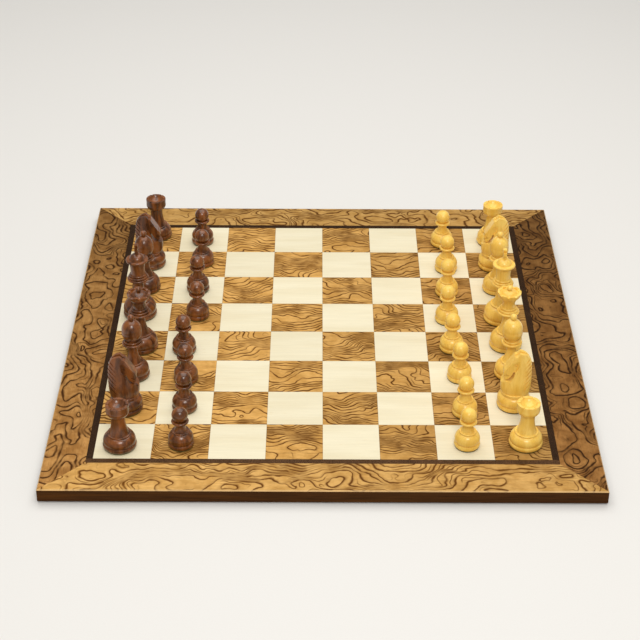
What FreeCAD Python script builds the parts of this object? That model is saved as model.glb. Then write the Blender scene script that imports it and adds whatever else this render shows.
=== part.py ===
import FreeCAD, Part
import math
import os

from FreeCAD import Vector

# Millimetres throughout. The board lies on the table at z = 0 with its middle at x = y = 0.
# The light men stand on the right (+X), the dark men on the left, and files a to h run away (+Y).

# The board seen from above
square = 55.0
squares_per_side = 8
strip_width = 6.5
rail_width = 41.0

# The board through its thickness
foot_height = 2.0
rail_height = 13.4
veneer = 0.6
core_thickness = 3.4
sensor_thickness = 1.6
base_thickness = 3.0

# Frame joinery
arris = 1.0
ledge_width = 8.0
base_lip = 20.0
panel_gap = 0.15
biscuit_length = 46.0
biscuit_width = 14.0
biscuit_thickness = 3.0
biscuit_gap = 0.1

# Screws and feet under the board
screw_head = 6.4
screw_shank = 3.2
screw_length = 9.0
screw_point = 2.0
screw_inset = 30.0
screw_spacing = 180.0
screw_gap = 0.1
screw_key = 2.5
screw_key_depth = 1.4
foot_diameter = 22.0
foot_inset = 35.0
foot_edge = 0.6

# Sensing layer under the core panel
board_seam = 1.0
board_edge_gap = 0.5
board_corner = 4.0
coil_side = 44.0
coil_track = 5.0
coil_corner = 8.0
coil_thickness = 0.2
connector_length = 20.0
connector_width = 6.0
connector_height = 2.5
post_diameter = 10.0

# Controller in a pocket of the back rail
pocket_wall = 4.0
pocket_gap = 1.0
pocket_corner = 3.0
controller_length = 60.0
controller_depth = 56.0
controller_thickness = 1.2
controller_gap = 0.3
controller_corner = 2.0
buzzer_diameter = 9.0
buzzer_height = 2.6
buzzer_port = 1.6
battery_length = 80.0
battery_width = 50.0
battery_thickness = 4.0
battery_corner = 5.0
lead_width = 3.0
lead_thickness = 1.0
lead_bend = 8.0
cable_width = 10.0
cable_thickness = 0.3
cable_landing = 8.0
cable_slope = 60.0

# Charging and data socket, and the power button beside it
usb_width = 8.94
usb_height = 3.26
usb_length = 7.5
usb_shell = 0.32
usb_depth = 6.2
usb_tongue_width = 6.7
usb_tongue_thickness = 0.7
usb_tongue_length = 4.4
usb_recess = 0.3
usb_gap = 0.15
usb_offset = -14.0
button_diameter = 4.0
button_travel = 1.0
button_gap = 0.08
button_proud = 1.3
button_offset = 14.0
dimple_diameter = 9.6
dimple_depth = 1.5
flange_width = 8.0
flange_height = 3.0
flange_thickness = 0.8
stem_diameter = 1.8
stem_engagement = 1.0
switch_width = 6.0
switch_depth = 4.5
switch_height = 3.2
switch_gap = 0.4

# What all the men have in their bases
pad_thickness = 1.2
pad_inset = 1.0
slug_wall = 6.0
slug_height = 6.0
slug_gap = 0.1
tag_thickness = 0.8
foot_band = 4.4
foot_bulge = 0.8
groove_depth = 1.0
groove_height = 0.9
bead = 1.5

# Pawn, from the foot up
pawn_base = 25.4
pawn_dome_rise = 10.1
pawn_dome_ring = 15.6
pawn_stem_foot = 12.8
pawn_stem_top = 10.2
pawn_stem_rise = 9.3
pawn_collar = 17.0
pawn_collar_height = 2.6
pawn_head = 15.7

# Rook
rook_base = 33.0
rook_dome_rise = 8.5
rook_dome_ring = 21.8
rook_stem_foot = 19.6
rook_stem_top = 14.2
rook_stem_rise = 20.5
rook_turret_foot = 15.6
rook_turret = 22.2
rook_bowl_rise = 7.0
rook_wall_rise = 5.2
rook_cup = 16.6
rook_cup_depth = 5.0
rook_notches = 6
rook_notch_width = 0.9
rook_notch_depth = 0.9

# Bishop, whose cut faces the far side of the board
bishop_base = 31.8
bishop_dome_rise = 10.5
bishop_dome_ring = 19.0
bishop_stem_foot = 16.6
bishop_stem_top = 10.2
bishop_stem_rise = 20.7
bishop_collar = 21.0
bishop_collar_rise = 7.2
bishop_mitre_foot = 15.6
bishop_mitre = 20.0
bishop_belly_rise = 8.6
bishop_crown_rise = 12.4
bishop_mitre_tip = 5.0
bishop_finial = 6.9
bishop_slit = 1.3
bishop_slit_tilt = 32.0
bishop_slit_depth = 8.5
bishop_turn = 90.0

# Queen
queen_base = 34.4
queen_dome_rise = 11.9
queen_dome_ring = 21.0
queen_stem_foot = 18.2
queen_stem_top = 11.2
queen_stem_rise = 22.7
queen_collar = 23.6
queen_collar_rise = 7.2
queen_neck = 13.4
queen_neck_rise = 11.2
queen_coronet_foot = 19.0
queen_coronet = 24.4
queen_coronet_rise = 6.6
queen_rim = 2.6
queen_dish = 1.6
queen_points = 9
queen_scallop = 4.6
queen_cap_rise = 3.2
queen_finial = 5.6

# King
king_base = 36.0
king_dome_rise = 12.9
king_dome_ring = 22.2
king_stem_foot = 19.2
king_stem_top = 11.8
king_stem_rise = 24.1
king_collar = 23.2
king_collar_rise = 7.2
king_crown_foot = 15.6
king_crown_top = 18.0
king_crown_rise = 15.2
king_rim = 23.8
king_rim_height = 2.8
king_cap = 16.4
king_cap_rise = 5.6
king_cross_height = 13.0
king_cross_width = 9.4
king_cross_waist = 2.6
king_cross_flare = 4.4
king_cross_thickness = 3.4

# Knight: the horse's outline and sections are shares of its height, length and width
knight_base = 33.0
knight_dome_rise = 9.6
knight_dome_ring = 25.0
knight_seat_disc = 27.0
knight_seat_height = 1.8
horse_height = 45.0
horse_length = 30.0
horse_width = 23.4
horse_head_width = 12.8
horse_face_bevel = 2.6
horse_ear_split = 3.4
horse_ear_depth = 5.6
horse_eye = 1.9
horse_eye_socket = 3.4
horse_eye_cut = 0.5
horse_nostril = 1.5
horse_mouth = 0.8
horse_lock_cut = 1.0
horse_lock_depth = 1.8
horse_lock_stop = 9.0
horse_lock_slant = 40.0
horse_locks = 7
horse_brow = (0.09, 0.88)
horse_nose = (0.335, 0.61)

# How far each man stands off the middle of its square, files a to h, as (right, away)
light_rank_offsets = [(4, -2), (-2, 6.5), (-0.5, 5), (0.5, 2.5), (-0.5, -1), (1, 4), (1, -1.5), (3.5, -2)]
light_pawn_offsets = [(2, -4.5), (3.5, -7.5), (2.5, -2), (-2, -4), (-3.5, -4), (0, -5), (2.5, -9), (1, -7.5)]
dark_rank_offsets = [(-3.5, -7), (-3, -1.5), (-0.5, 1), (2.5, -3), (-5, 6), (-3, 3), (-2, 0), (0, 9)]
dark_pawn_offsets = [(0.5, -5.5), (0, -1), (-2, -7), (-7.5, -9), (2.5, 2), (-0.5, 1), (1.5, 2), (-1.5, -5)]

# Plan of the board, worked out from the sizes above
half_field = square * squares_per_side / 2
inner_half = half_field + strip_width
outer_half = inner_half + rail_width
ledge_half = inner_half - ledge_width
base_half = outer_half - base_lip - panel_gap

# Levels, from the table up
rail_bottom = foot_height
board_top = rail_bottom + rail_height
veneer_bottom = board_top - veneer
core_bottom = veneer_bottom - core_thickness
sensor_bottom = core_bottom - sensor_thickness
base_top = rail_bottom + base_thickness
controller_top = base_top + controller_thickness

# The controller stands on a line between two files, where the coils leave room for its cable
controller_x = square
pocket_back = outer_half - pocket_wall
controller_back = pocket_back - button_travel - controller_gap
controller_front = controller_back - controller_depth
usb_x = controller_x + usb_offset
button_x = controller_x + button_offset
socket_level = controller_top + usb_height / 2

# The battery lies on the base panel beside the controller
battery_x = -square
battery_y = 2.75 * square

# Rise of a quarter circle over its chord, as a share of its radius
quarter_rise = 1 - math.sqrt(0.5)

up = Vector(0, 0, 1)
right = Vector(1, 0, 0)
away = Vector(0, 1, 0)


def polygon_face(points):
    corners = [Vector(*point) for point in points]
    return Part.Face(Part.makePolygon(corners + corners[:1]))


def prism(points, low, high):
    """Upright prism over a plan outline of straight sides."""
    return polygon_face([(x, y, low) for x, y in points]).extrude(up * (high - low))


def plate(x0, y0, x1, y1, low, high, corner=0.0):
    """Flat plate with rounded upright corners."""
    if corner == 0:
        return Part.makeBox(x1 - x0, y1 - y0, high - low, Vector(x0, y0, low))
    edges = []
    middles = [(x1 - corner, y0 + corner), (x1 - corner, y1 - corner), (x0 + corner, y1 - corner),
               (x0 + corner, y0 + corner)]
    arcs = []
    for turn, (cx, cy) in enumerate(middles):
        points = []
        for step in (-90, -45, 0):
            angle = math.radians(step + 90 * turn)
            points.append(Vector(cx + corner * math.cos(angle), cy + corner * math.sin(angle), low))
        arcs.append(points)
    for points, following in zip(arcs, arcs[1:] + arcs[:1]):
        edges.append(Part.Arc(*points).toShape())
        edges.append(Part.LineSegment(points[2], following[0]).toShape())
    return Part.Face(Part.Wire(edges)).extrude(up * (high - low))


def rod(start, direction, radius, length):
    return Part.makeCylinder(radius, length, start, direction)


def outline_edges(start, steps):
    """Edges in the XZ plane: (r, z) runs straight, (r, z, bulge) is an arc that swells by bulge."""
    edges = []
    here = Vector(start[0], 0, start[1])
    for step in steps:
        there = Vector(step[0], 0, step[1])
        if len(step) == 2:
            edges.append(Part.LineSegment(here, there).toShape())
        else:
            chord = there - here
            outward = Vector(chord.z, 0, -chord.x).normalize()
            edges.append(Part.Arc(here, (here + there) * 0.5 + outward * step[2], there).toShape())
        here = there
    return edges


def turned(start, steps):
    """Solid of revolution about Z from an outline that starts and ends on the axis."""
    edges = outline_edges(start, steps)
    end = steps[-1]
    edges.append(Part.LineSegment(Vector(end[0], 0, end[1]), Vector(start[0], 0, start[1])).toShape())
    return Part.Face(Part.Wire(edges)).revolve(Vector(), up, 360)


def spun(shape, degrees):
    copy = shape.copy()
    copy.rotate(Vector(), up, degrees)
    return copy


def moved(shape, x, y, z):
    copy = shape.copy()
    copy.translate(Vector(x, y, z))
    return copy


# Board

def screw_places():
    """Middles of the screws along the front side, before turning to the other sides."""
    return [(along * screw_spacing, screw_inset - outer_half) for along in (-1, 0, 1)]


def screw_shape(gap):
    """Countersunk wood screw, head down, with its head flush at z = 0."""
    head_r = screw_head / 2 + gap
    shank_r = screw_shank / 2 + gap
    shank_start = head_r - shank_r
    length = screw_length + gap
    point_start = length - screw_point
    return turned((0, 0), [(head_r, 0), (shank_r, shank_start), (shank_r, point_start), (0, length)])


def biscuit_shape(gap):
    """Flat lens that bridges a mitre, lying across it with its length along the diagonal."""
    half_length = biscuit_length / 2 + gap
    half_width = biscuit_width / 2 + gap
    half_thickness = biscuit_thickness / 2 + gap
    tips = [Vector(-half_length, 0, -half_thickness), Vector(half_length, 0, -half_thickness)]
    near = Part.Arc(tips[0], Vector(0, -half_width, -half_thickness), tips[1]).toShape()
    far = Part.Arc(tips[1], Vector(0, half_width, -half_thickness), tips[0]).toShape()
    return Part.Face(Part.Wire([near, far])).extrude(up * 2 * half_thickness)


def biscuits(gap):
    """One biscuit in each corner, centred in the wood beside the base panel's rebate."""
    reach = outer_half - rail_width / 2
    level = (base_top + board_top) / 2
    shape = moved(spun(biscuit_shape(gap), 45), reach, reach, level)
    return [spun(shape, 90 * corner) for corner in range(4)]


def frame_rail(turn):
    """Mitred rail: bevelled outside, a ledge for the core panel above and a rebate for the base below."""
    section = [(0, rail_bottom), (base_lip, rail_bottom), (base_lip, base_top),
               (rail_width + ledge_width, base_top), (rail_width + ledge_width, core_bottom),
               (rail_width, core_bottom), (rail_width, board_top), (arris, board_top),
               (0, board_top - arris)]
    face = polygon_face([(-outer_half, inward - outer_half, level) for inward, level in section])
    bar = face.extrude(right * 2 * outer_half)
    mitre = prism([(-outer_half, -outer_half), (outer_half, -outer_half), (0, 0)], 0, board_top)
    rail = bar.common(mitre)
    pilots = [moved(screw_shape(screw_gap), x, y, rail_bottom) for x, y in screw_places()]
    rail = rail.cut(pilots)
    return spun(rail, 90 * turn).cut(biscuits(biscuit_gap))


def stadium_bar(x, low_y, high_y, width, height):
    """Bar along Y at the socket's level whose section is a slot with round ends."""
    r = height / 2
    half = width / 2 - r
    corners = [Vector(x - half, low_y, socket_level - r), Vector(x + half, low_y, socket_level - r),
               Vector(x + half, low_y, socket_level + r), Vector(x - half, low_y, socket_level + r)]
    edges = [
        Part.LineSegment(corners[0], corners[1]).toShape(),
        Part.Arc(corners[1], Vector(x + half + r, low_y, socket_level), corners[2]).toShape(),
        Part.LineSegment(corners[2], corners[3]).toShape(),
        Part.Arc(corners[3], Vector(x - half - r, low_y, socket_level), corners[0]).toShape(),
    ]
    return Part.Face(Part.Wire(edges)).extrude(away * (high_y - low_y))


def back_rail():
    """Rail with the controller's pocket, the socket's slot and the button's hole."""
    half_pocket = controller_length / 2 + pocket_gap
    pocket = plate(controller_x - half_pocket, ledge_half - pocket_corner, controller_x + half_pocket,
                   pocket_back, base_top, sensor_bottom, pocket_corner)
    mouth = plate(controller_x - half_pocket, ledge_half - pocket_corner, controller_x + half_pocket,
                  ledge_half + pocket_corner, base_top, sensor_bottom)
    slot = stadium_bar(usb_x, pocket_back - pocket_wall, outer_half + pocket_wall,
                       usb_width + 2 * usb_gap, usb_height + 2 * usb_gap)
    hole = rod(Vector(button_x, pocket_back - pocket_wall, socket_level), away,
               button_diameter / 2 + button_gap, 3 * pocket_wall)
    dimple = rod(Vector(button_x, outer_half - dimple_depth, socket_level), away,
                 dimple_diameter / 2, 2 * dimple_depth)
    return frame_rail(2).cut([pocket, mouth, slot, hole, dimple])


def core_panel():
    half = inner_half - panel_gap
    return plate(-half, -half, half, half, core_bottom, veneer_bottom)


def inlay_strips():
    """Four mitred strips of dark veneer round the field."""
    outside = inner_half - panel_gap
    strip = prism([(-outside, -outside), (outside, -outside), (half_field, -half_field),
                   (-half_field, -half_field)], veneer_bottom, board_top)
    return [spun(strip, 90 * turn) for turn in range(4)]


def square_tiles(dark):
    """The squares of one colour; the near left corner square is a light one."""
    tiles = []
    for column in range(squares_per_side):
        for row in range(squares_per_side):
            if (column + row) % 2 == dark:
                x = column * square - half_field
                y = row * square - half_field
                tiles.append(plate(x, y, x + square, y + square, veneer_bottom, board_top))
    return tiles


def sensor_boards():
    """Four boards, one to a quarter of the field, under the core panel."""
    near = board_seam / 2
    far = ledge_half - board_edge_gap
    quarter = plate(near, near, far, far, sensor_bottom, core_bottom, board_corner)
    return [spun(quarter, 90 * turn) for turn in range(4)]


def antenna_coils():
    """One flat square coil under the middle of each playing square."""
    half = coil_side / 2
    hole_half = half - coil_track
    low = sensor_bottom - coil_thickness
    ring = plate(-half, -half, half, half, low, sensor_bottom, coil_corner)
    hole = plate(-hole_half, -hole_half, hole_half, hole_half, low, sensor_bottom, coil_corner - coil_track)
    coil = ring.cut(hole)
    middles = [(index + 0.5) * square - half_field for index in range(squares_per_side)]
    return [moved(coil, x, y, 0) for x in middles for y in middles]


def board_connectors():
    """Blocks that join neighbouring sensor boards across their seams, three squares from the middle."""
    half_length = connector_length / 2
    half_width = connector_width / 2
    place = 3 * square
    block = plate(place - half_length, -half_width, place + half_length, half_width,
                  sensor_bottom - connector_height, sensor_bottom)
    return [spun(block, 90 * turn) for turn in range(4)]


def support_posts():
    """Posts on the lines between squares that carry the sensor boards on the base panel."""
    places = [-2 * square, 0, 2 * square]
    height = sensor_bottom - base_top
    return [rod(Vector(x, y, base_top), up, post_diameter / 2, height) for x in places for y in places]


def base_panel():
    panel = plate(-base_half, -base_half, base_half, base_half, rail_bottom, base_top)
    holes = [moved(screw_shape(screw_gap), x, y, rail_bottom) for x, y in screw_places()]
    return panel.cut([spun(hole, 90 * turn) for hole in holes for turn in range(4)])


def base_screws():
    key_r = screw_key / math.sqrt(3)
    key = prism([(key_r * math.cos(math.radians(60 * side)), key_r * math.sin(math.radians(60 * side)))
                 for side in range(6)], 0, screw_key_depth)
    screw = screw_shape(0).cut(key)
    placed = [moved(screw, x, y, rail_bottom) for x, y in screw_places()]
    return [spun(shape, 90 * turn) for shape in placed for turn in range(4)]


def feet():
    """Felt discs under the base panel's corners, eased at the edge that meets the table."""
    radius = foot_diameter / 2
    disc = turned((0, 0), [(radius - foot_edge, 0), (radius, foot_edge, quarter_rise * foot_edge),
                           (radius, foot_height), (0, foot_height)])
    place = base_half - foot_inset
    return [moved(disc, x, y, 0) for x in (-place, place) for y in (-place, place)]


# Electronics

def controller_board():
    half = controller_length / 2
    return plate(controller_x - half, controller_front, controller_x + half, controller_back,
                 base_top, controller_top, controller_corner)


def controller_chips():
    """Processor, radio module, memory and power chips, as (right, away, length, width, height)."""
    rows = [(0, -2, 12, 12, 1.2), (-18, -12, 18, 13, 2.2), (16, -6, 8, 6, 1.0), (14, 6, 5, 5, 0.9)]
    middle_y = (controller_front + controller_back) / 2
    chips = []
    for x, y, length, width, height in rows:
        x0 = controller_x + x - length / 2
        y0 = middle_y + y - width / 2
        chips.append(plate(x0, y0, x0 + length, y0 + width, controller_top, controller_top + height))
    return chips


def buzzer():
    """Round sounder on the controller with its port on top."""
    radius = buzzer_diameter / 2
    x = controller_x + controller_length / 2 - buzzer_diameter
    y = controller_front + buzzer_diameter
    can = rod(Vector(x, y, controller_top), up, radius, buzzer_height)
    port = rod(Vector(x, y, controller_top + buzzer_height / 2), up, buzzer_port / 2, buzzer_height)
    return can.cut(port)


def battery():
    left = battery_x - battery_length / 2
    front = battery_y - battery_width / 2
    return plate(left, front, left + battery_length, front + battery_width,
                 base_top, base_top + battery_thickness, battery_corner)


def battery_lead():
    """Flat two-core lead: out of the battery's side, round one bend, to the controller's edge."""
    start_x = battery_x + battery_length / 2
    run_y = battery_y + battery_width / 4
    end_x = controller_x - controller_length / 4
    centre = Vector(end_x - lead_bend, run_y + lead_bend, base_top)
    half = lead_width / 2
    corner = math.radians(-45)
    outer = lead_bend + half
    inner = lead_bend - half
    start_low = Vector(start_x, run_y - half, base_top)
    start_high = Vector(start_x, run_y + half, base_top)
    end_out = Vector(end_x + half, controller_front, base_top)
    end_in = Vector(end_x - half, controller_front, base_top)
    out_a = centre + Vector(0, -outer, 0)
    out_m = centre + Vector(outer * math.cos(corner), outer * math.sin(corner), 0)
    out_b = centre + Vector(outer, 0, 0)
    in_a = centre + Vector(0, -inner, 0)
    in_m = centre + Vector(inner * math.cos(corner), inner * math.sin(corner), 0)
    in_b = centre + Vector(inner, 0, 0)
    edges = [
        Part.LineSegment(start_low, out_a).toShape(),
        Part.Arc(out_a, out_m, out_b).toShape(),
        Part.LineSegment(out_b, end_out).toShape(),
        Part.LineSegment(end_out, end_in).toShape(),
        Part.LineSegment(end_in, in_b).toShape(),
        Part.Arc(in_b, in_m, in_a).toShape(),
        Part.LineSegment(in_a, start_high).toShape(),
        Part.LineSegment(start_high, start_low).toShape(),
    ]
    return Part.Face(Part.Wire(edges)).extrude(up * lead_thickness)


def flat_cable():
    """Flat cable from the controller's top up to the underside of a sensor board, in an S of two arcs."""
    slope = math.radians(cable_slope)
    rise = sensor_bottom - controller_top - cable_thickness
    bend = rise / (2 * (1 - math.cos(slope)))
    start_y = controller_front + cable_landing
    turn_y = start_y - cable_landing
    half_run = bend * math.sin(slope)
    meet = Vector(0, turn_y - half_run, controller_top + cable_thickness / 2 + rise / 2)
    lower = Vector(0, turn_y, controller_top + cable_thickness / 2 + bend)
    upper = Vector(0, turn_y - 2 * half_run, sensor_bottom - cable_thickness / 2 - bend)

    def on_arc(middle, radius, degrees):
        angle = math.radians(degrees)
        return middle + Vector(0, radius * math.cos(angle), radius * math.sin(angle))

    half = cable_thickness / 2
    inside = bend - half
    outside = bend + half
    first = -90
    last = -90 - cable_slope
    halfway = (first + last) / 2
    top_start = 90 - cable_slope
    top_halfway = (top_start + 90) / 2
    below = [on_arc(lower, outside, angle) for angle in (first, halfway, last)]
    above = [on_arc(lower, inside, angle) for angle in (last, halfway, first)]
    under = [on_arc(upper, inside, angle) for angle in (top_start, top_halfway, 90)]
    over = [on_arc(upper, outside, angle) for angle in (90, top_halfway, top_start)]
    start_low = Vector(0, start_y, controller_top)
    start_high = Vector(0, start_y, controller_top + cable_thickness)
    end_low = under[2] - away * cable_landing
    end_high = over[0] - away * cable_landing
    edges = [
        Part.LineSegment(start_low, below[0]).toShape(),
        Part.Arc(*below).toShape(),
        Part.Arc(*under).toShape(),
        Part.LineSegment(under[2], end_low).toShape(),
        Part.LineSegment(end_low, end_high).toShape(),
        Part.LineSegment(end_high, over[0]).toShape(),
        Part.Arc(*over).toShape(),
        Part.Arc(*above).toShape(),
        Part.LineSegment(above[2], start_high).toShape(),
        Part.LineSegment(start_high, start_low).toShape(),
    ]
    strip = Part.Face(Part.Wire(edges)).extrude(right * cable_width)
    return moved(strip, controller_x - cable_width / 2, 0, 0)


def usb_socket():
    """Drawn shell with an open mouth and the contact tongue inside."""
    mouth = outer_half - usb_recess
    back = mouth - usb_length
    floor = mouth - usb_depth
    shell = stadium_bar(usb_x, back, mouth, usb_width, usb_height)
    hollow = stadium_bar(usb_x, floor, mouth, usb_width - 2 * usb_shell, usb_height - 2 * usb_shell)
    tongue_level = socket_level - usb_tongue_thickness / 2
    tongue = Part.makeBox(usb_tongue_width, usb_tongue_length, usb_tongue_thickness,
                          Vector(usb_x - usb_tongue_width / 2, floor, tongue_level))
    return shell.cut(hollow.cut(tongue))


def power_button():
    """Round cap in the rail's hole, held in by a flange behind the wall, with a stem into its switch."""
    dimple_floor = outer_half - dimple_depth
    cap_start = pocket_back
    stem_length = button_travel + switch_gap + stem_engagement
    cap_end = dimple_floor + button_proud
    edge = button_diameter / 8
    radius = button_diameter / 2
    length = cap_end - cap_start
    rounding = (radius - edge, length, quarter_rise * edge)
    cap = turned((0, 0), [(radius, 0), (radius, length - edge), rounding, (0, length)])
    cap.rotate(Vector(), right, -90)
    cap = moved(cap, button_x, cap_start, socket_level)
    flange = Part.makeBox(flange_width, flange_thickness, flange_height,
                          Vector(button_x - flange_width / 2, pocket_back - flange_thickness,
                                 socket_level - flange_height / 2))
    stem = rod(Vector(button_x, pocket_back - flange_thickness - stem_length, socket_level), away,
               stem_diameter / 2, stem_length)
    return cap.fuse([flange, stem]).removeSplitter()


def power_switch():
    """Small push switch on the controller, bored for the button's stem."""
    front = pocket_back - flange_thickness - button_travel - switch_gap
    body = Part.makeBox(switch_width, switch_depth, switch_height,
                        Vector(button_x - switch_width / 2, front - switch_depth, controller_top))
    bore_depth = stem_engagement + button_travel + switch_gap
    bore = rod(Vector(button_x, front - bore_depth, socket_level), away,
               stem_diameter / 2 + button_gap, bore_depth)
    return body.cut(bore)


# Men: each function gives the wooden body, which stands on its pad with its axis on Z

def dome_start():
    """Level where every man's dome rises from the groove over its foot band."""
    return pad_thickness + foot_band + groove_height


def stem_start(dome_rise):
    """Level over the dome's bead, where the stem starts."""
    return dome_start() + dome_rise + bead


def foot_steps(base, dome_rise, dome_ring):
    """Foot band, groove, swelling dome and the bead where the stem starts."""
    edge = base / 2 - foot_bulge
    band_top = pad_thickness + foot_band
    dome_top = dome_start() + dome_rise
    ring = dome_ring / 2
    return [
        (edge, pad_thickness),
        (edge, band_top, foot_bulge),
        (edge - groove_depth, band_top + groove_height / 2),
        (edge, dome_start()),
        (ring, dome_top, dome_rise / 5),
        (ring, dome_top + bead, bead / 2),
    ]


def ring_stack(collar, collar_seat, rise, neck):
    """Three turned rings, each smaller than the one below, closing in to the neck."""
    step = rise / 3
    shrink = (collar - neck) / 6
    steps = []
    for index in range(3):
        low = collar_seat + index * step
        edge = collar / 2 - index * shrink - step / 3
        steps.append((edge, low))
        steps.append((edge, low + step, step / 3))
    steps.append((neck / 2, collar_seat + rise))
    return steps


def stem_steps(stem_foot, foot_level, stem_top, top_level):
    """Hollowed stem."""
    hollow = (stem_foot - stem_top) / 4
    return [(stem_foot / 2, foot_level), (stem_top / 2, top_level, -hollow)]


def ball_steps(diameter, neck, seat):
    """Ball on a neck of the given diameter, in two arcs: out to its widest and on to the axis."""
    radius = diameter / 2
    middle = seat + math.sqrt(radius ** 2 - (neck / 2) ** 2)
    start = math.atan2(seat - middle, neck / 2)
    swell = radius * (1 - math.cos(start / 2))
    return [(radius, middle, swell), (0, middle + radius, quarter_rise * radius)]


def bowl_dip(radius, depth):
    """How far a round bowl sinks below the straight line from its rim to its middle."""
    bend = (radius ** 2 + depth ** 2) / (2 * depth)
    return bend - math.sqrt(bend ** 2 - (radius ** 2 + depth ** 2) / 4)


def pawn_body():
    stem_seat = stem_start(pawn_dome_rise)
    collar_seat = stem_seat + pawn_stem_rise
    collar_top = collar_seat + pawn_collar_height
    lip = pawn_collar_height / 2
    edge = pawn_collar / 2 - lip
    steps = foot_steps(pawn_base, pawn_dome_rise, pawn_dome_ring)
    steps += stem_steps(pawn_stem_foot, stem_seat, pawn_stem_top, collar_seat)
    steps += [(edge, collar_seat), (edge, collar_top, lip), (pawn_stem_top / 2, collar_top)]
    steps += ball_steps(pawn_head, pawn_stem_top, collar_top)
    return turned((0, pad_thickness), steps)


def rook_body():
    """Tower with a bowl-shaped, hollow top and faint saw-cuts in its rim."""
    stem_seat = stem_start(rook_dome_rise)
    turret_seat = stem_seat + rook_stem_rise
    wall_seat = turret_seat + rook_bowl_rise
    top = wall_seat + rook_wall_rise
    flare = (rook_turret - rook_turret_foot) / 5
    steps = foot_steps(rook_base, rook_dome_rise, rook_dome_ring)
    steps += stem_steps(rook_stem_foot, stem_seat, rook_stem_top, turret_seat)
    steps += [
        (rook_turret_foot / 2, turret_seat),
        (rook_turret / 2, wall_seat, flare),
        (rook_turret / 2, top),
        (rook_cup / 2, top),
        (0, top - rook_cup_depth, -bowl_dip(rook_cup / 2, rook_cup_depth)),
    ]
    body = turned((0, pad_thickness), steps)
    notch = Part.makeBox(rook_turret, rook_notch_width, 2 * rook_notch_depth,
                         Vector(0, -rook_notch_width / 2, top - rook_notch_depth))
    return body.cut([spun(notch, 360 * index / rook_notches) for index in range(rook_notches)])


def bishop_body():
    """Mitre with a slanting saw-cut, on a triple collar."""
    neck = bishop_finial / 2
    stem_seat = stem_start(bishop_dome_rise)
    collar_seat = stem_seat + bishop_stem_rise
    mitre_seat = collar_seat + bishop_collar_rise
    belly = mitre_seat + bishop_belly_rise
    mitre_top = belly + bishop_crown_rise
    steps = foot_steps(bishop_base, bishop_dome_rise, bishop_dome_ring)
    steps += stem_steps(bishop_stem_foot, stem_seat, bishop_stem_top, collar_seat)
    steps += ring_stack(bishop_collar, collar_seat, bishop_collar_rise, bishop_stem_top)
    steps += [
        (bishop_mitre_foot / 2, mitre_seat),
        (bishop_mitre / 2, belly, bishop_belly_rise / 8),
        (bishop_mitre_tip / 2, mitre_top, bishop_crown_rise / 5),
        (neck / 2, mitre_top),
    ]
    steps += ball_steps(bishop_finial, neck, mitre_top)
    body = turned((0, pad_thickness), steps)
    slit = Part.makeBox(bishop_mitre, bishop_mitre, bishop_slit,
                        Vector(0, -bishop_mitre / 2, -bishop_slit / 2))
    slit.rotate(Vector(), away, -bishop_slit_tilt)
    return body.cut(moved(slit, bishop_mitre / 2 - bishop_slit_depth, 0, belly))


def queen_body():
    """Coronet with a scalloped rim round a dished top, a low cap and a ball."""
    stem_seat = stem_start(queen_dome_rise)
    collar_seat = stem_seat + queen_stem_rise
    neck_seat = collar_seat + queen_collar_rise
    coronet_seat = neck_seat + queen_neck_rise
    top = coronet_seat + queen_coronet_rise
    rim_r = queen_coronet / 2
    dish_r = rim_r - queen_rim
    dish_level = top - queen_dish
    cap_top = dish_level + queen_cap_rise
    ball_neck = queen_finial / 2
    steps = foot_steps(queen_base, queen_dome_rise, queen_dome_ring)
    steps += stem_steps(queen_stem_foot, stem_seat, queen_stem_top, collar_seat)
    steps += ring_stack(queen_collar, collar_seat, queen_collar_rise, queen_neck)
    steps += [
        (queen_coronet_foot / 2, coronet_seat, -queen_neck_rise / 8),
        (rim_r, top, queen_rim / 3),
        (dish_r, top),
        (dish_r, dish_level),
        (dish_r - queen_rim / 2, dish_level),
        (ball_neck / 2, cap_top, queen_cap_rise / 4),
    ]
    steps += ball_steps(queen_finial, ball_neck, cap_top)
    body = turned((0, pad_thickness), steps)
    scallop = rod(Vector(dish_r - queen_rim / 2, 0, top + queen_scallop / 4), right,
                  queen_scallop / 2, 2 * queen_rim)
    return body.cut([spun(scallop, 360 * index / queen_points) for index in range(queen_points)])


def cross_pattee():
    """Cross with four flared arms, seen along X, standing on z = 0."""
    half_width = king_cross_width / 2
    middle = king_cross_height - half_width
    waist = king_cross_waist / 2
    tip = king_cross_flare / 2
    outline = [
        (-tip, 0), (tip, 0), (waist, middle - waist), (half_width, middle - tip),
        (half_width, middle + tip), (waist, middle + waist), (tip, king_cross_height),
        (-tip, king_cross_height), (-waist, middle + waist), (-half_width, middle + tip),
        (-half_width, middle - tip), (-waist, middle - waist),
    ]
    face = polygon_face([(-king_cross_thickness / 2, y, z) for y, z in outline])
    return face.extrude(right * king_cross_thickness)


def king_body():
    """Crown with a flared rim, a domed cap and a cross."""
    stem_seat = stem_start(king_dome_rise)
    collar_seat = stem_seat + king_stem_rise
    crown_seat = collar_seat + king_collar_rise
    rim_seat = crown_seat + king_crown_rise
    cap_seat = rim_seat + king_rim_height
    cap_top = cap_seat + king_cap_rise
    lip = king_rim_height / 3
    edge = king_rim / 2 - lip
    steps = foot_steps(king_base, king_dome_rise, king_dome_ring)
    steps += stem_steps(king_stem_foot, stem_seat, king_stem_top, collar_seat)
    steps += ring_stack(king_collar, collar_seat, king_collar_rise, king_crown_foot)
    steps += [
        (king_crown_top / 2, rim_seat, -king_crown_rise / 24),
        (edge, rim_seat),
        (edge, cap_seat, lip),
        (king_cap / 2, cap_seat),
        (king_cross_flare / 2, cap_top, king_cap_rise / 4),
        (0, cap_top),
    ]
    body = turned((0, pad_thickness), steps)
    sink = king_cap_rise / 4
    return body.fuse(moved(cross_pattee(), 0, 0, cap_top - sink)).removeSplitter()


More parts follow.
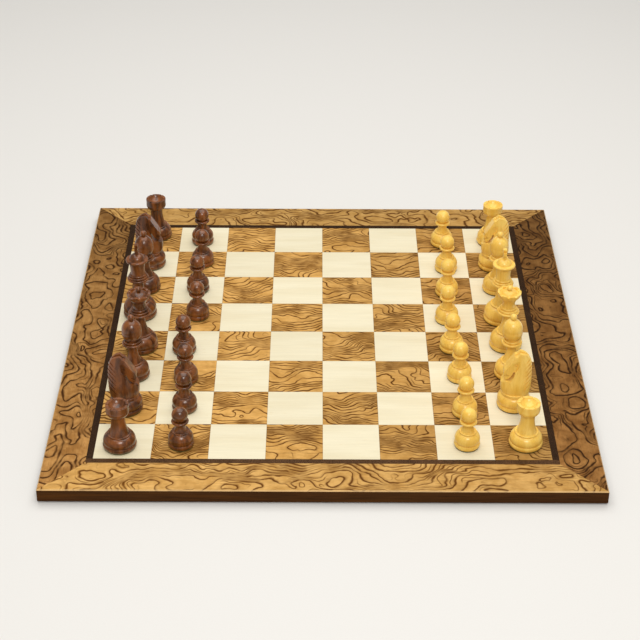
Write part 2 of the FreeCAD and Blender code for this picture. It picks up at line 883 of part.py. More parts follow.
def horse_spot(forward, height):
    """Point in the horse's middle plane, from shares of its length and height, with its seat at z = 0."""
    return Vector(forward * horse_length, 0, height * horse_height)


def horse_outline():
    """Flat blank in the horse's side view: back, crest, ears, face, muzzle, jaw, throat and chest."""
    steps = [
        ((-0.527, 0.36), (-0.497, 0.74)),
        ((-0.40, 0.905), (-0.19, 0.985)),
        (None, (-0.105, 1.0)),
        (None, (-0.01, 0.93)),
        ((0.045, 0.915), horse_brow),
        (None, horse_nose),
        ((0.405, 0.51), (0.385, 0.425)),
        ((0.35, 0.37), (0.29, 0.365)),
        ((0.19, 0.425), (0.115, 0.53)),
        ((0.08, 0.555), (0.065, 0.51)),
        ((0.12, 0.40), (0.215, 0.325)),
        ((0.30, 0.33), (0.38, 0.31)),
        ((0.485, 0.235), (0.53, 0.13)),
        ((0.52, 0.06), (0.475, 0.0)),
    ]
    here = horse_spot(-0.475, 0.0)
    edges = []
    for through, end in steps:
        there = horse_spot(*end)
        if through is None:
            edges.append(Part.LineSegment(here, there).toShape())
        else:
            edges.append(Part.Arc(here, horse_spot(*through), there).toShape())
        here = there
    edges.append(Part.LineSegment(here, horse_spot(-0.475, 0.0)).toShape())
    blank = Part.Face(Part.Wire(edges)).extrude(away * 2 * horse_width)
    return moved(blank, 0, -horse_width, 0)


def oval_wire(back, front, width, height):
    """Level section of the horse, a little squarer than an ellipse, from shares of its sizes."""
    count = 16
    squareness = 0.88
    middle = horse_spot((back + front) / 2, height)
    half_along = (front - back) / 2 * horse_length
    half_across = width / 2 * horse_width
    points = []
    for index in range(count):
        angle = 2 * math.pi * index / count
        c = math.cos(angle)
        s = math.sin(angle)
        points.append(middle + right * half_along * math.copysign(abs(c) ** squareness, c)
                      + away * half_across * math.copysign(abs(s) ** squareness, s))
    curve = Part.BSplineCurve()
    curve.interpolate(points, PeriodicFlag=True)
    return Part.Wire([curve.toShape()])


def horse_bulk(inset):
    """Rounded bulk that the blank is carved down to, wide at the chest and slim at the ears.

    The inset is the share of the length by which its back is set in.
    """
    rows = [
        (-0.505, 0.40, 0.98, -0.05), (-0.53, 0.477, 1.00, 0.10), (-0.545, 0.477, 0.96, 0.24),
        (-0.55, 0.465, 0.86, 0.38), (-0.545, 0.455, 0.75, 0.54), (-0.525, 0.42, 0.65, 0.69),
        (-0.465, 0.33, 0.55, 0.83), (-0.37, 0.21, 0.46, 0.95), (-0.31, 0.12, 0.40, 1.05),
    ]
    wires = [oval_wire(back + inset, front, width, height) for back, front, width, height in rows]
    return Part.makeLoft(wires, True, False)


def both_sides(shape):
    """The shape on the left side of the horse and its mirror image on the right."""
    return [shape, shape.mirror(Vector(), away)]


def head_cuts():
    """Slim the head on both sides, in front of the neck's edge from the ears to the throat."""
    corners = [
        (-0.13, 1.1), (-0.10, 0.82), (-0.06, 0.66), (0.07, 0.53), (0.15, 0.41), (0.235, 0.345),
        (0.6, 0.345), (0.6, 1.1),
    ]
    points = [horse_spot(*corner) for corner in corners]
    side = polygon_face([(point.x, horse_head_width / 2, point.z) for point in points])
    return both_sides(side.extrude(away * horse_width))


def face_cuts():
    """Bevel both edges of the face, from the brow to the nose."""
    brow = horse_spot(*horse_brow)
    nose = horse_spot(*horse_nose)
    along = nose - brow
    tilt = math.degrees(math.atan2(-along.z, along.x))
    length = 2 * along.Length
    bevel = Part.makeBox(length, horse_head_width, horse_head_width, Vector(-length / 2, 0, 0))
    bevel.rotate(Vector(), right, -45)
    bevel.translate(Vector(0, horse_head_width / 2, -horse_face_bevel))
    bevel.rotate(Vector(), away, tilt)
    middle = (brow + nose) * 0.5
    return both_sides(moved(bevel, middle.x, 0, middle.z))


def ear_cut():
    """Notch that parts the two ears."""
    top = horse_height * 1.1
    low = horse_height - horse_ear_depth
    half = horse_ear_split / 2
    spread = half * (top - low) / horse_ear_depth
    back = -horse_length
    face = polygon_face([(back, 0, low), (back, spread, top), (back, -spread, top)])
    return face.extrude(right * 2 * horse_length)


def lock_cuts():
    """Grooves between the locks of the mane, which cross the crest and fade out down the neck."""
    core = horse_bulk(horse_lock_depth / horse_length)
    fall = horse_length / 2 * math.tan(math.radians(horse_lock_slant))
    cuts = []
    for index in range(horse_locks):
        height = horse_height * (0.27 + 0.62 * index / (horse_locks - 1))
        slab = Part.makeBox(horse_length - horse_lock_stop, 2 * horse_width, horse_lock_cut,
                            Vector(-horse_length, -horse_width, -horse_lock_cut / 2))
        slab.rotate(Vector(), away, horse_lock_slant)
        cuts.append(moved(slab, 0, 0, height - fall).cut(core))
    return cuts


def detail_cuts():
    """Eyes in their sockets, nostrils and mouth."""
    eye = horse_spot(0.03, 0.74) + away * horse_head_width / 2
    eye_floor = eye - away * horse_eye_cut
    ring = rod(eye_floor, away, horse_eye_socket / 2, 2 * horse_eye_cut)
    ring = ring.cut(rod(eye_floor, away, horse_eye / 2, 2 * horse_eye_cut))
    nose = horse_spot(0.325, 0.50) + away * horse_head_width * 0.46
    nostril = Part.makeSphere(horse_nostril / 2, nose)
    lip = horse_spot(0.24, 0.475)
    front = horse_spot(0.50, 0.435)
    along = front - lip
    mouth = Part.makeBox(along.Length, 2 * horse_head_width, horse_mouth,
                         Vector(0, -horse_head_width, -horse_mouth / 2))
    mouth.rotate(Vector(), away, math.degrees(math.atan2(-along.z, along.x)))
    return both_sides(ring) + both_sides(nostril) + [moved(mouth, lip.x, lip.y, lip.z)]


def knight_body():
    """Carved horse on a turned base, looking along +X."""
    disc_seat = stem_start(knight_dome_rise)
    seat = disc_seat + knight_seat_height
    lip = knight_seat_height / 3
    edge = knight_seat_disc / 2 - lip
    steps = foot_steps(knight_base, knight_dome_rise, knight_dome_ring)
    steps += [(edge, disc_seat), (edge, seat, lip), (0, seat)]
    base = turned((0, pad_thickness), steps)
    horse = horse_outline().common(horse_bulk(0))
    for cuts in (head_cuts(), face_cuts(), [ear_cut()], lock_cuts(), detail_cuts()):
        horse = horse.cut(cuts)
    return base.fuse(moved(horse, 0, 0, seat)).removeSplitter()


def weighted(body, base):
    """A man's separate pieces: bored body, steel slug, sensor tag and felt pad."""
    bore_r = base / 2 - slug_wall
    tag_top = pad_thickness + tag_thickness
    bore = rod(Vector(0, 0, pad_thickness), up, bore_r, tag_thickness + slug_height)
    slug = rod(Vector(0, 0, tag_top), up, bore_r - slug_gap, slug_height)
    tag = rod(Vector(0, 0, pad_thickness), up, bore_r - slug_gap, tag_thickness)
    pad = rod(Vector(), up, base / 2 - pad_inset, pad_thickness)
    return [body.cut(bore), slug, tag, pad]


def stand(pieces, x, y, facing):
    """The man's pieces on the board, turned to face its opponent."""
    return [moved(spun(piece, facing), x, y, board_top) for piece in pieces]


def export(node, shapes):
    Part.makeCompound(shapes).exportStep("parts/%s.step" % node)


def export_board():
    single = {
        "rail_front": frame_rail(0),
        "rail_right": frame_rail(1),
        "rail_back": back_rail(),
        "rail_left": frame_rail(3),
        "core_panel": core_panel(),
        "base_panel": base_panel(),
        "controller_board": controller_board(),
        "buzzer": buzzer(),
        "battery": battery(),
        "battery_lead": battery_lead(),
        "flat_cable": flat_cable(),
        "usb_socket": usb_socket(),
        "power_button": power_button(),
        "power_switch": power_switch(),
    }
    groups = {
        "mitre_biscuits": biscuits(0),
        "inlay_strips": inlay_strips(),
        "light_squares": square_tiles(0),
        "dark_squares": square_tiles(1),
        "sensor_boards": sensor_boards(),
        "antenna_coils": antenna_coils(),
        "board_connectors": board_connectors(),
        "support_posts": support_posts(),
        "controller_chips": controller_chips(),
        "base_screws": base_screws(),
        "feet": feet(),
    }
    for node, shape in single.items():
        export(node, [shape])
    for node, shapes in groups.items():
        export(node, shapes)


def export_men():
    kinds = {
        "rook": weighted(rook_body(), rook_base),
        "knight": weighted(knight_body(), knight_base),
        "bishop": weighted(bishop_body(), bishop_base),
        "queen": weighted(queen_body(), queen_base),
        "king": weighted(king_body(), king_base),
        "pawn": weighted(pawn_body(), pawn_base),
    }
    back_rank = ["rook", "knight", "bishop", "queen", "king", "bishop", "knight", "rook"]
    last = half_field - square / 2
    ranks = [
        ("light", back_rank, last, 180, light_rank_offsets),
        ("light", ["pawn"] * squares_per_side, last - square, 180, light_pawn_offsets),
        ("dark", back_rank, -last, 0, dark_rank_offsets),
        ("dark", ["pawn"] * squares_per_side, square - last, 0, dark_pawn_offsets),
    ]
    for colour, names, rank_x, facing, offsets in ranks:
        for index, (name, offset) in enumerate(zip(names, offsets)):
            x = rank_x + offset[0]
            y = index * square - last + offset[1]
            file_letter = "" if name in ("king", "queen") else "_" + "abcdefgh"[index]
            turn = bishop_turn if name == "bishop" else facing
            export("%s_%s%s" % (colour, name, file_letter), stand(kinds[name], x, y, turn))


os.makedirs("parts", exist_ok=True)
export_board()
export_men()
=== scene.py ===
import math

import bpy
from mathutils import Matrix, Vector

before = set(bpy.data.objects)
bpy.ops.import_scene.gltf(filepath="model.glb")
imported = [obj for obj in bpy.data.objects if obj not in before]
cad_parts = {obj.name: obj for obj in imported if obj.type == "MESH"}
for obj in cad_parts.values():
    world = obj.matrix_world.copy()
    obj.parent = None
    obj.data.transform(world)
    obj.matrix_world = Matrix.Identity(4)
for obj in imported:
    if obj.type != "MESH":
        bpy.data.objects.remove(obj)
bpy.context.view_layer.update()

# Sizes of the board that the materials follow, in metres
SQUARE = 0.055
HALF_BOARD = 0.2675
BOARD_TOP = 0.0154
PAD_THICK = 0.0012
PAD_TOP = BOARD_TOP + PAD_THICK
SEAM = 0.00012
FIELD_EDGE = 4 * SQUARE

# Lines of the figured veneer, in metres: their widths, the reach of the brown beside them, and the
# spaces at which they are faded to the least strength and stand at full strength
LINE_NARROW = 0.0006
LINE_WIDE = 0.0017
LINE_SHADOW = 0.0026
CROWDED = 0.0012
ROOMY = 0.0034
CROWDED_STRENGTH = 0.25
RAIL_BOLD = 1.45

# How the lines bend: broad swirls and small wobbles, as a noise scale and a reach in metres
SWIRL_SCALE = 55.0
SWIRL_REACH = 0.012
WOBBLE_SCALE = 150.0
WOBBLE_REACH = 0.0022
SLOPE_STEP = 0.0003
LEAST_SLOPE = 0.00001

# Finish of the board
LACQUER_ROUGHNESS = 0.42
LACQUER_COAT = 0.02
GRAIN_DEPTH = 0.00003

# View of the photograph
CAMERA_PLACE = (-0.00704, -1.45634, 0.98725)
CAMERA_TURN = (56.691, -0.2667, 0.0076)
LENS = 92.135
SENSOR = 36.0

# Studio: places and sizes in metres, lamps in watts
FLOOR_HALF = 6.0
WORLD_LEVEL = 0.3
BROAD_LAMP = dict(place=(0.0, 0.3, 1.7), size=2.0, power=28.0, colour=(1.0, 0.985, 0.96))
FRONT_LAMP = dict(place=(0.15, -1.6, 1.7), size=0.6, power=20.0, colour=(1.0, 0.98, 0.95))


def srgb(red, green, blue):
    """A colour given in the usual 0 to 255 values, as the linear values that the shaders take."""
    def linear(value):
        share = value / 255
        if share <= 0.04045:
            return share / 12.92
        return ((share + 0.055) / 1.055) ** 2.4
    return (linear(red), linear(green), linear(blue), 1.0)


class Shade:
    """One material, with short ways of adding nodes to it."""

    def __init__(self, name):
        self.material = bpy.data.materials.new(name)
        self.material.use_nodes = True
        self.nodes = self.material.node_tree.nodes
        self.links = self.material.node_tree.links
        self.surface = self.nodes["Principled BSDF"]
        self.coords = self.nodes.new("ShaderNodeTexCoord")
        self.place = self.coords.outputs["Object"]

    def feed(self, socket, value):
        if isinstance(value, bpy.types.NodeSocket):
            self.links.new(value, socket)
        elif socket.type == "VECTOR":
            socket.default_value = value[:3]
        else:
            socket.default_value = value

    def set(self, **values):
        for name, value in values.items():
            self.feed(self.surface.inputs[name.replace("_", " ")], value)

    def math(self, operation, *values):
        node = self.nodes.new("ShaderNodeMath")
        node.operation = operation
        for socket, value in zip(node.inputs, values):
            self.feed(socket, value)
        return node.outputs[0]

    def vector(self, operation, *values):
        node = self.nodes.new("ShaderNodeVectorMath")
        node.operation = operation
        for socket, value in zip(node.inputs, values):
            self.feed(socket, value)
        return node.outputs["Value"] if operation in ("DOT_PRODUCT", "LENGTH") else node.outputs[0]

    def scaled(self, vector, factor):
        return self.vector("MULTIPLY", vector, (factor, factor, factor))

    def axis(self, vector, index):
        node = self.nodes.new("ShaderNodeSeparateXYZ")
        self.feed(node.inputs[0], vector)
        return node.outputs[index]

    def join(self, x, y, z):
        node = self.nodes.new("ShaderNodeCombineXYZ")
        for socket, value in zip(node.inputs, (x, y, z)):
            self.feed(socket, value)
        return node.outputs[0]

    def noise(self, vector, scale, detail=2.0, roughness=0.5, distortion=0.0):
        node = self.nodes.new("ShaderNodeTexNoise")
        self.feed(node.inputs["Vector"], vector)
        self.feed(node.inputs["Scale"], scale)
        self.feed(node.inputs["Detail"], detail)
        self.feed(node.inputs["Roughness"], roughness)
        self.feed(node.inputs["Distortion"], distortion)
        return node.outputs["Fac"]

    def stir(self, vector, scale, reach):
        """Places pushed a little off, by an amount that changes smoothly from place to place."""
        node = self.nodes.new("ShaderNodeTexNoise")
        self.feed(node.inputs["Vector"], vector)
        self.feed(node.inputs["Scale"], scale)
        self.feed(node.inputs["Detail"], 0.0)
        push = self.vector("SUBTRACT", node.outputs["Color"], (0.5, 0.5, 0.5))
        return self.vector("ADD", vector, self.scaled(push, reach))

    def chance(self, vector):
        """A random value and a random vector for each whole-numbered place."""
        node = self.nodes.new("ShaderNodeTexWhiteNoise")
        node.noise_dimensions = "3D"
        self.feed(node.inputs["Vector"], vector)
        return node.outputs["Value"], node.outputs["Color"]

    def spread(self, value, low, high, new_low=0.0, new_high=1.0, smooth=True):
        node = self.nodes.new("ShaderNodeMapRange")
        node.interpolation_type = "SMOOTHSTEP" if smooth else "LINEAR"
        for socket, number in zip(node.inputs, (value, low, high, new_low, new_high)):
            self.feed(socket, number)
        return node.outputs[0]

    def mix(self, share, first, second):
        node = self.nodes.new("ShaderNodeMix")
        node.data_type = "RGBA"
        self.feed(node.inputs[0], share)
        self.feed(node.inputs[6], first)
        self.feed(node.inputs[7], second)
        return node.outputs[2]

    def darken(self, colour, value):
        """The colour times a grey value."""
        return self.vector("MULTIPLY", colour, self.join(value, value, value))

    def bump(self, height, depth, strength=1.0):
        node = self.nodes.new("ShaderNodeBump")
        node.inputs["Distance"].default_value = depth
        node.inputs["Strength"].default_value = strength
        self.feed(node.inputs["Height"], height)
        self.set(Normal=node.outputs[0])


def stretched(shade, place, along, factor):
    """Places squeezed along the grain, so that a pattern made from them runs with it."""
    squeeze = [1.0, 1.0, 1.0]
    squeeze[along] = 1.0 / factor
    return shade.vector("MULTIPLY", place, tuple(squeeze))


def level_lines(shade, place, along, stretch, scale, levels, drift):
    """Level lines of a smooth random height: the dark lines of figured veneer.

    Gives the distance to the nearest line, the distance past the line below, the distance to the
    nearest of the lines half-way between them, and the space from line to line.
    """
    across = [0.0, 0.0, 0.0]
    across[1 - along] = 1.0

    def height(spot):
        swirled = shade.stir(spot, SWIRL_SCALE, SWIRL_REACH)
        bent = shade.stir(swirled, WOBBLE_SCALE, WOBBLE_REACH)
        slow = shade.noise(stretched(shade, bent, along, stretch), scale, 0.6, 0.4)
        climb = shade.math("MULTIPLY", shade.vector("DOT_PRODUCT", bent, tuple(across)), drift)
        return shade.math("MULTIPLY_ADD", slow, levels, climb)

    def nearest(part):
        return shade.math("MINIMUM", part, shade.math("SUBTRACT", 1.0, part))

    here = height(place)
    beside = shade.vector("ADD", place, (SLOPE_STEP, 0.0, 0.0))
    ahead = shade.vector("ADD", place, (0.0, SLOPE_STEP, 0.0))
    east = shade.math("SUBTRACT", height(beside), here)
    north = shade.math("SUBTRACT", height(ahead), here)
    slope = shade.vector("LENGTH", shade.join(east, north, 0.0))
    run = shade.math("DIVIDE", SLOPE_STEP, shade.math("MAXIMUM", slope, LEAST_SLOPE))
    part = shade.math("FRACT", here)
    half_way = shade.math("FRACT", shade.math("ADD", here, 0.5))
    shares = (nearest(part), part, nearest(half_way), 1.0)
    return [shade.math("MULTIPLY", share, run) for share in shares]


def figured(shade, place, along, stretch, scale, levels, drift, pale, deep, line, bold=1.0):
    """Colour of figured veneer: golden ground, dark level lines with a soft brown side, fine grain.

    Lines that crowd together fade. Gives the colour, and how deep the lines and pores lie.
    """
    distance, beyond, between, space = level_lines(shade, place, along, stretch, scale, levels, drift)
    boldness = shade.spread(space, CROWDED * bold, ROOMY * bold, CROWDED_STRENGTH, 1.0)
    patches = shade.spread(shade.noise(place, 60.0, 3.0, 0.6), 0.32, 0.68)
    streaks = shade.noise(stretched(shade, place, along, 9.0), 420.0, 3.0, 0.6)
    ground = shade.mix(patches, deep, pale)
    ground = shade.darken(ground, shade.spread(streaks, 0.25, 0.75, 0.84, 1.12, False))
    shadow = shade.spread(beyond, 0.0, LINE_SHADOW * bold, 0.35, 0.0)
    ground = shade.mix(shade.math("MULTIPLY", shadow, boldness), ground, line)
    swell = shade.noise(place, 80.0, 2.0)
    width = shade.spread(swell, 0.35, 0.7, LINE_NARROW * bold, LINE_WIDE * bold)
    mark = shade.spread(distance, shade.math("MULTIPLY", width, 0.12), width, 1.0, 0.0)
    faded = shade.spread(shade.noise(place, 40.0, 2.0), 0.3, 0.5, 0.6, 1.0)
    mark = shade.math("MULTIPLY", mark, faded)
    fine = shade.spread(between, 0.0002, 0.001, 1.0, 0.0)
    here_and_there = shade.spread(shade.noise(place, 26.0, 2.0), 0.48, 0.62, 0.0, 0.8)
    fine = shade.math("MULTIPLY", fine, here_and_there)
    mark = shade.math("MULTIPLY", shade.math("MAXIMUM", mark, fine), boldness)
    colour = shade.mix(mark, ground, line)
    pores = shade.noise(stretched(shade, place, along, 12.0), 1300.0, 1.0)
    pore = shade.spread(pores, 0.62, 0.74, 0.0, 0.45)
    return shade.mix(pore, colour, line), shade.math("ADD", mark, pore)


def lacquer(shade, roughness=LACQUER_ROUGHNESS):
    """The board's satin finish."""
    shade.set(Roughness=roughness, Coat_Weight=LACQUER_COAT, Coat_Roughness=0.22,
              Specular_IOR_Level=0.04)


def rail_veneer(name, along, end_tone_and_shade, pale, deep, line, edge, **figure):
    """A frame rail: figured veneer on top, a straight-grained lipping on its other sides, whose dark
    colour is partly its own wood and partly painted shade.

    The veneer is darkened from one end of the rail to the other by two given factors: partly the
    veneer's own tone and partly painted shade.
    """
    shade = Shade(name)
    colour, dents = figured(shade, shade.place, along, **figure,
                            pale=pale, deep=deep, line=line, bold=RAIL_BOLD)
    # Partly the veneer's own tone, partly painted shade: the veneer darkens along the rail
    length = shade.axis(shade.place, along)
    colour = shade.darken(colour, shade.spread(length, -HALF_BOARD, HALF_BOARD, *end_tone_and_shade, False))
    upright = shade.axis(shade.coords.outputs["Normal"], 2)
    lengthwise = stretched(shade, shade.place, along, 22.0)
    fibre = shade.noise(lengthwise, 700.0, 3.0, 0.65)
    # The lipping's dark colour is partly its own wood and partly painted shade
    lipping = shade.darken(edge, shade.spread(fibre, 0.25, 0.75, 0.6, 1.35, False))
    streak = shade.spread(shade.noise(lengthwise, 160.0, 2.0), 0.5, 0.7, 0.0, 0.35)
    lipping = shade.mix(streak, lipping, line)
    colour = shade.mix(shade.spread(upright, 0.45, 0.62), lipping, colour)
    # Pale line on the chamfered arris, picked by slope: partly wear, partly painted highlight
    arris_wear_and_sheen = shade.math("MULTIPLY", shade.spread(upright, 0.5, 0.66),
                      shade.spread(upright, 0.8, 0.97, 1.0, 0.0))
    colour = shade.mix(shade.math("MULTIPLY", arris_wear_and_sheen, 0.55), colour, srgb(226, 190, 136))
    shade.set(Base_Color=colour)
    lacquer(shade, shade.spread(fibre, 0.2, 0.8, 0.36, 0.5, False))
    shade.bump(shade.math("SUBTRACT", fibre, dents), GRAIN_DEPTH, 0.5)
    return shade.material


def cell(shade):
    """Number of the square that a place lies in, and the distance to that square's nearest edge."""
    count = shade.vector("FLOOR", shade.vector("DIVIDE", shade.place, (SQUARE, SQUARE, 1.0)))
    inside = shade.vector("FRACTION", shade.vector("DIVIDE", shade.place, (SQUARE, SQUARE, 1.0)))
    other = shade.vector("SUBTRACT", (1.0, 1.0, 1.0), inside)
    least = shade.vector("MINIMUM", inside, other)
    edge = shade.math("MINIMUM", shade.axis(least, 0), shade.axis(least, 1))
    return count, shade.math("MULTIPLY", edge, SQUARE)


def seamed(shade, colour, edge, seam):
    """The colour with a hairline of glue round each square."""
    return shade.mix(shade.spread(edge, 0.0, SEAM * 2, 0.75, 0.0), colour, seam)


def dark_square_veneer():
    """Figured squares, each cut from its own place in the veneer."""
    shade = Shade("dark_square_veneer")
    count, edge = cell(shade)
    share, where = shade.chance(count)
    leaf = shade.vector("ADD", shade.place, shade.scaled(where, 7.0))
    colour, dents = figured(shade, leaf, 0, stretch=1.7, scale=30.0, levels=11.0, drift=185.0,
                            pale=srgb(216, 167, 95), deep=srgb(193, 144, 75), line=srgb(90, 50, 8))
    colour = shade.darken(colour, shade.spread(share, 0.0, 1.0, 0.96, 1.05, False))
    # Partly the veneer's own tone, partly painted shade: the squares darken towards the right
    rightward = shade.axis(shade.place, 0)
    colour = shade.darken(colour, shade.spread(rightward, -SQUARE, FIELD_EDGE, 1.02, 0.7))
    shade.set(Base_Color=seamed(shade, colour, edge, srgb(70, 44, 20)))
    lacquer(shade)
    shade.bump(shade.math("SUBTRACT", 1.0, dents), GRAIN_DEPTH, 0.5)
    return shade.material


def light_square_veneer():
    """Pale squares with a faint straight grain."""
    shade = Shade("light_square_veneer")
    count, edge = cell(shade)
    share, where = shade.chance(count)
    leaf = shade.vector("ADD", shade.place, shade.scaled(where, 5.0))
    grain = shade.noise(stretched(shade, leaf, 0, 18.0), 520.0, 3.0, 0.6)
    rays = shade.noise(stretched(shade, leaf, 0, 5.0), 900.0, 1.0)
    bands = shade.noise(stretched(shade, leaf, 0, 6.0), 60.0, 2.0)
    colour = shade.mix(shade.spread(bands, 0.3, 0.7), srgb(228, 217, 185), srgb(234, 225, 196))
    colour = shade.darken(colour, shade.spread(grain, 0.3, 0.75, 1.02, 0.95, False))
    colour = shade.mix(shade.spread(rays, 0.66, 0.74, 0.0, 0.25), colour, srgb(222, 200, 155))
    colour = shade.darken(colour, shade.spread(share, 0.0, 1.0, 0.96, 1.02, False))
    shade.set(Base_Color=seamed(shade, colour, edge, srgb(150, 120, 80)))
    lacquer(shade)
    shade.bump(grain, 0.00002, 0.4)
    return shade.material


def inlay_wood():
    """The dark line round the field, whose front strip is paler than the other three."""
    shade = Shade("inlay_wood")
    fibre = shade.noise(shade.place, 900.0, 3.0, 0.6)
    bands = shade.noise(shade.place, 90.0, 2.0)
    colour = shade.mix(shade.spread(fibre, 0.3, 0.7), srgb(44, 29, 16), srgb(78, 54, 34))
    colour = shade.darken(colour, shade.spread(bands, 0.3, 0.7, 0.85, 1.15, False))
    blur = 0.001
    tone = shade.spread(shade.axis(shade.place, 1), -FIELD_EDGE - blur, -FIELD_EDGE + blur, 1.6, 0.66)
    shade.set(Base_Color=shade.darken(colour, tone))
    lacquer(shade)
    shade.bump(fibre, GRAIN_DEPTH, 0.4)
    return shade.material


def turned_wood(name, pale, deep, vein, roughness, coat):
    """Wood of a man, its grain standing upright, on the man's felt pad."""
    shade = Shade(name)
    fibre = shade.noise(stretched(shade, shade.place, 2, 16.0), 900.0, 3.0, 0.65)
    bands = shade.noise(stretched(shade, shade.place, 2, 4.0), 130.0, 3.0, 0.55, 0.6)
    colour = shade.mix(shade.spread(bands, 0.3, 0.7), deep, pale)
    colour = shade.mix(shade.spread(fibre, 0.5, 0.75, 0.0, 0.35), colour, vein)
    height = shade.axis(shade.place, 2)
    blur = 0.0001
    pad = shade.spread(height, PAD_TOP - blur, PAD_TOP + blur, 1.0, 0.0)
    fluff = shade.noise(shade.place, 2600.0, 2.0, 0.7)
    felt = shade.mix(shade.spread(fluff, 0.3, 0.7), srgb(64, 62, 30), srgb(112, 106, 58))
    shade.set(Base_Color=shade.mix(pad, colour, felt))
    shade.set(Roughness=shade.mix(pad, (roughness, roughness, roughness, 1.0), (0.95, 0.95, 0.95, 1.0)))
    shade.set(Coat_Weight=coat, Coat_Roughness=0.26, Specular_IOR_Level=0.1)
    shade.bump(shade.mix(pad, fibre, fluff), 0.00004, 0.35)
    return shade.material


def speckled(name, ground, fleck, scale, roughness, metallic=0.0, depth=0.00002):
    """A plain finish with fine flecks: felt, fibreboard, plastic or metal, by its colours and scale."""
    shade = Shade(name)
    flecks = shade.noise(shade.place, scale, 3.0, 0.65)
    patches = shade.noise(shade.place, scale / 12, 2.0)
    colour = shade.mix(shade.spread(flecks, 0.35, 0.7), ground, fleck)
    colour = shade.darken(colour, shade.spread(patches, 0.3, 0.7, 0.9, 1.08, False))
    shade.set(Base_Color=colour, Metallic=metallic)
    dull, bright = min(1.0, roughness + 0.08), roughness - 0.08
    shade.set(Roughness=shade.spread(flecks, 0.2, 0.8, bright, dull, False))
    shade.bump(flecks, depth, 0.4)
    return shade.material


def board_copper(name):
    """Green circuit board with faint copper tracks under the mask."""
    shade = Shade(name)
    lattice = shade.vector("FRACTION", shade.scaled(shade.place, 260.0))
    near = shade.math("ABSOLUTE", shade.math("SUBTRACT", shade.axis(lattice, 0), 0.5))
    wander = shade.noise(shade.place, 90.0, 0.0)
    track = shade.math("MULTIPLY", shade.spread(near, 0.12, 0.18, 1.0, 0.0),
                       shade.spread(wander, 0.52, 0.56))
    weave = shade.noise(shade.place, 2200.0, 1.0)
    colour = shade.mix(track, srgb(18, 70, 44), srgb(44, 112, 62))
    colour = shade.darken(colour, shade.spread(weave, 0.3, 0.7, 0.92, 1.06, False))
    shade.set(Base_Color=colour, Roughness=shade.spread(weave, 0.3, 0.7, 0.3, 0.42, False))
    shade.bump(track, 0.00003, 0.5)
    return shade.material


def dress(material, *names):
    """Gives a material to CAD nodes."""
    for name in names:
        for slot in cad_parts[name].material_slots:
            slot.material = material


def dress_rails():
    """Front and back rails run along X, with a lengthwise figure; the others along Y, swirled."""
    # The rails' sides are dark brown: partly the lipping's own wood, partly painted shade
    edge = srgb(70, 41, 15)
    gold = dict(pale=srgb(219, 172, 101), deep=srgb(196, 148, 79), line=srgb(102, 60, 16), edge=edge)
    left = dict(pale=srgb(184, 136, 77), deep=srgb(146, 101, 50), line=srgb(64, 34, 6), edge=edge)
    right = dict(pale=srgb(166, 118, 64), deep=srgb(128, 85, 40), line=srgb(50, 26, 4), edge=edge)
    lengthwise = dict(along=0, stretch=2.2, scale=30.0, levels=12.0, drift=110.0)
    swirled = dict(along=1, stretch=1.6, scale=28.0, levels=14.0, drift=55.0)
    # The end factors darken each rail along its length: partly its own tone, partly painted shade
    dress(rail_veneer("front_rail_veneer", end_tone_and_shade=(1.04, 0.84), **gold, **lengthwise), "rail_front")
    dress(rail_veneer("back_rail_veneer", end_tone_and_shade=(0.78, 0.74), **gold, **lengthwise), "rail_back")
    dress(rail_veneer("left_rail_veneer", end_tone_and_shade=(1.14, 0.6), **left, **swirled), "rail_left")
    dress(rail_veneer("right_rail_veneer", end_tone_and_shade=(0.96, 0.44), **right, **swirled), "rail_right")


def dress_board():
    dress(dark_square_veneer(), "dark_squares")
    dress(light_square_veneer(), "light_squares")
    dress(inlay_wood(), "inlay_strips")
    dress(speckled("panel_fibre", srgb(120, 88, 58), srgb(158, 124, 88), 1400.0, 0.8),
          "core_panel", "base_panel")
    dress(speckled("beech_wood", srgb(196, 156, 110), srgb(222, 188, 146), 900.0, 0.6),
          "mitre_biscuits", "support_posts")
    dress(speckled("foot_felt", srgb(30, 28, 26), srgb(66, 62, 58), 2400.0, 0.95, depth=0.0001),
          "feet")


def dress_electronics():
    dress(board_copper("board_green"), "sensor_boards", "controller_board")
    dress(speckled("coil_copper", srgb(176, 104, 58), srgb(214, 146, 96), 1600.0, 0.35, 1.0),
          "antenna_coils")
    plastic = speckled("black_plastic", srgb(18, 18, 19), srgb(40, 40, 42), 2600.0, 0.5)
    dress(plastic, "board_connectors", "controller_chips", "buzzer", "power_switch", "power_button")
    dress(speckled("battery_foil", srgb(150, 152, 156), srgb(196, 198, 202), 500.0, 0.4, 0.8),
          "battery")
    dress(speckled("cable_jacket", srgb(86, 86, 90), srgb(120, 120, 124), 1800.0, 0.55),
          "battery_lead", "flat_cable")
    dress(speckled("socket_steel", srgb(160, 162, 166), srgb(206, 208, 210), 1500.0, 0.32, 1.0),
          "usb_socket")
    dress(speckled("screw_steel", srgb(120, 122, 126), srgb(176, 178, 182), 1500.0, 0.36, 1.0),
          "base_screws")


def dress_men():
    """Each man's node name starts with its side, as the squares' names do."""
    woods = {
        "light": turned_wood("boxwood", srgb(252, 212, 106), srgb(240, 191, 80), srgb(214, 158, 52),
                             roughness=0.34, coat=0.7),
        "dark": turned_wood("stained_wood", srgb(140, 80, 32), srgb(72, 37, 10), srgb(26, 12, 3),
                            roughness=0.32, coat=1.0),
    }
    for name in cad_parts:
        side = name.split("_")[0]
        if side in woods and not name.endswith("squares"):
            dress(woods[side], name)


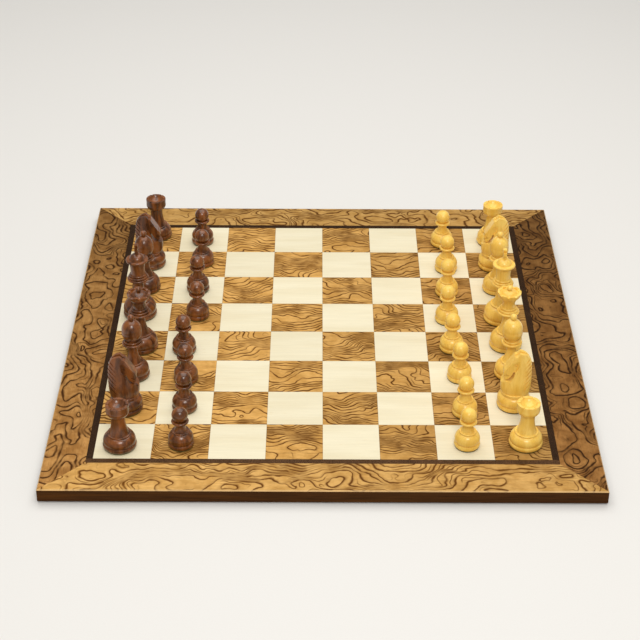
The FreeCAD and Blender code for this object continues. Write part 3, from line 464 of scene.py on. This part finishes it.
def floor():
    """A plain pale sheet of paper under the board."""
    half = FLOOR_HALF
    corners = [(-half, -half, 0), (half, -half, 0), (half, half, 0), (-half, half, 0)]
    mesh = bpy.data.meshes.new("floor")
    mesh.from_pydata(corners, [], [(0, 1, 2, 3)])
    sheet = bpy.data.objects.new("floor", mesh)
    bpy.context.scene.collection.objects.link(sheet)
    shade = Shade("floor_paper")
    tooth = shade.noise(shade.place, 700.0, 2.0)
    grey = shade.spread(tooth, 0.3, 0.7, 0.98, 1.0, False)
    shade.set(Base_Color=shade.darken(srgb(226, 224, 220), grey))
    shade.set(Roughness=0.8)
    mesh.materials.append(shade.material)


def lamp(name, place, size, power, colour):
    """A square lamp that faces the middle of the board."""
    light = bpy.data.lights.new(name, "AREA")
    light.shape = "SQUARE"
    light.size = size
    light.energy = power
    light.color = colour
    holder = bpy.data.objects.new(name, light)
    holder.location = place
    aim = -Vector(place)
    holder.rotation_euler = aim.to_track_quat("-Z", "Y").to_euler()
    bpy.context.scene.collection.objects.link(holder)


def lights():
    """Even light from all round, a broad lamp overhead and a smaller one in front."""
    world = bpy.data.worlds.new("studio")
    world.use_nodes = True
    sky = world.node_tree.nodes["Background"]
    sky.inputs["Color"].default_value = (1.0, 0.99, 0.97, 1.0)
    sky.inputs["Strength"].default_value = WORLD_LEVEL
    bpy.context.scene.world = world
    lamp("broad_lamp", **BROAD_LAMP)
    lamp("front_lamp", **FRONT_LAMP)


def camera():
    """The photograph's view, fitted to the corners of the squares and of the frame."""
    lens = bpy.data.cameras.new("photo_view")
    lens.lens = LENS
    lens.sensor_width = SENSOR
    lens.sensor_fit = "HORIZONTAL"
    holder = bpy.data.objects.new("photo_view", lens)
    holder.location = CAMERA_PLACE
    holder.rotation_euler = [math.radians(angle) for angle in CAMERA_TURN]
    bpy.context.scene.collection.objects.link(holder)
    bpy.context.scene.camera = holder


dress_rails()
dress_board()
dress_electronics()
dress_men()
floor()
lights()
camera()
bpy.context.scene.view_settings.view_transform = "Standard"
